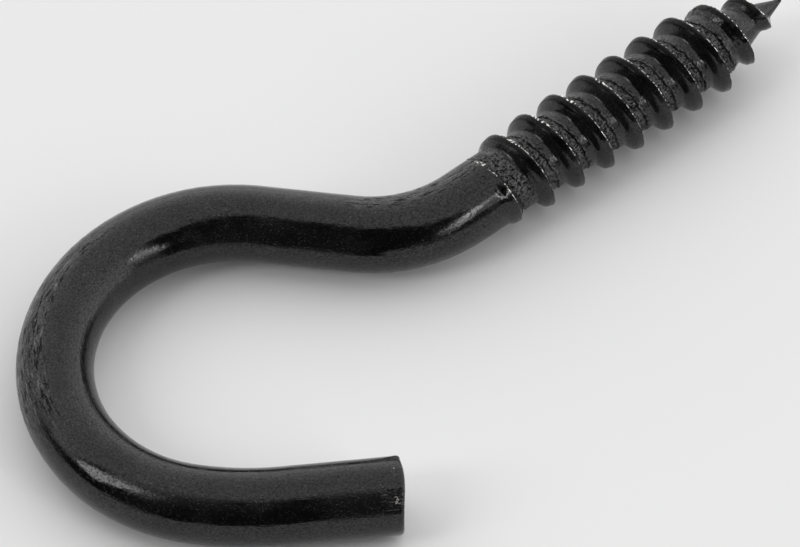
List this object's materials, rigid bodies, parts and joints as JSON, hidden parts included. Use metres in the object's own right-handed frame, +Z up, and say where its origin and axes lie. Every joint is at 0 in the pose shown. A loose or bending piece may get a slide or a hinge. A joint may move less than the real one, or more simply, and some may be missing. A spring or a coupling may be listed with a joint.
{
  "type": "screw hook",
  "caption": "Bent round-wire hook with a coarse wood thread and a sharp gimlet point, for hanging things from a wooden beam or wall.",
  "frame": {"origin": "middle of the bounding box's underside, on the surface that the hook lies on", "axes": "+X along the threaded shank from the bow to the point, +Y to the closed side of the bow, +Z up from the surface, across the flat plane of the bends"},
  "size_m": [0.06, 0.0308, 0.0063],
  "materials": {
    "black_paint": "semi-gloss black paint over steel wire"
  },
  "bodies": {
    "root": {"screw_hook": "black_paint"}
  },
  "joints": []
}
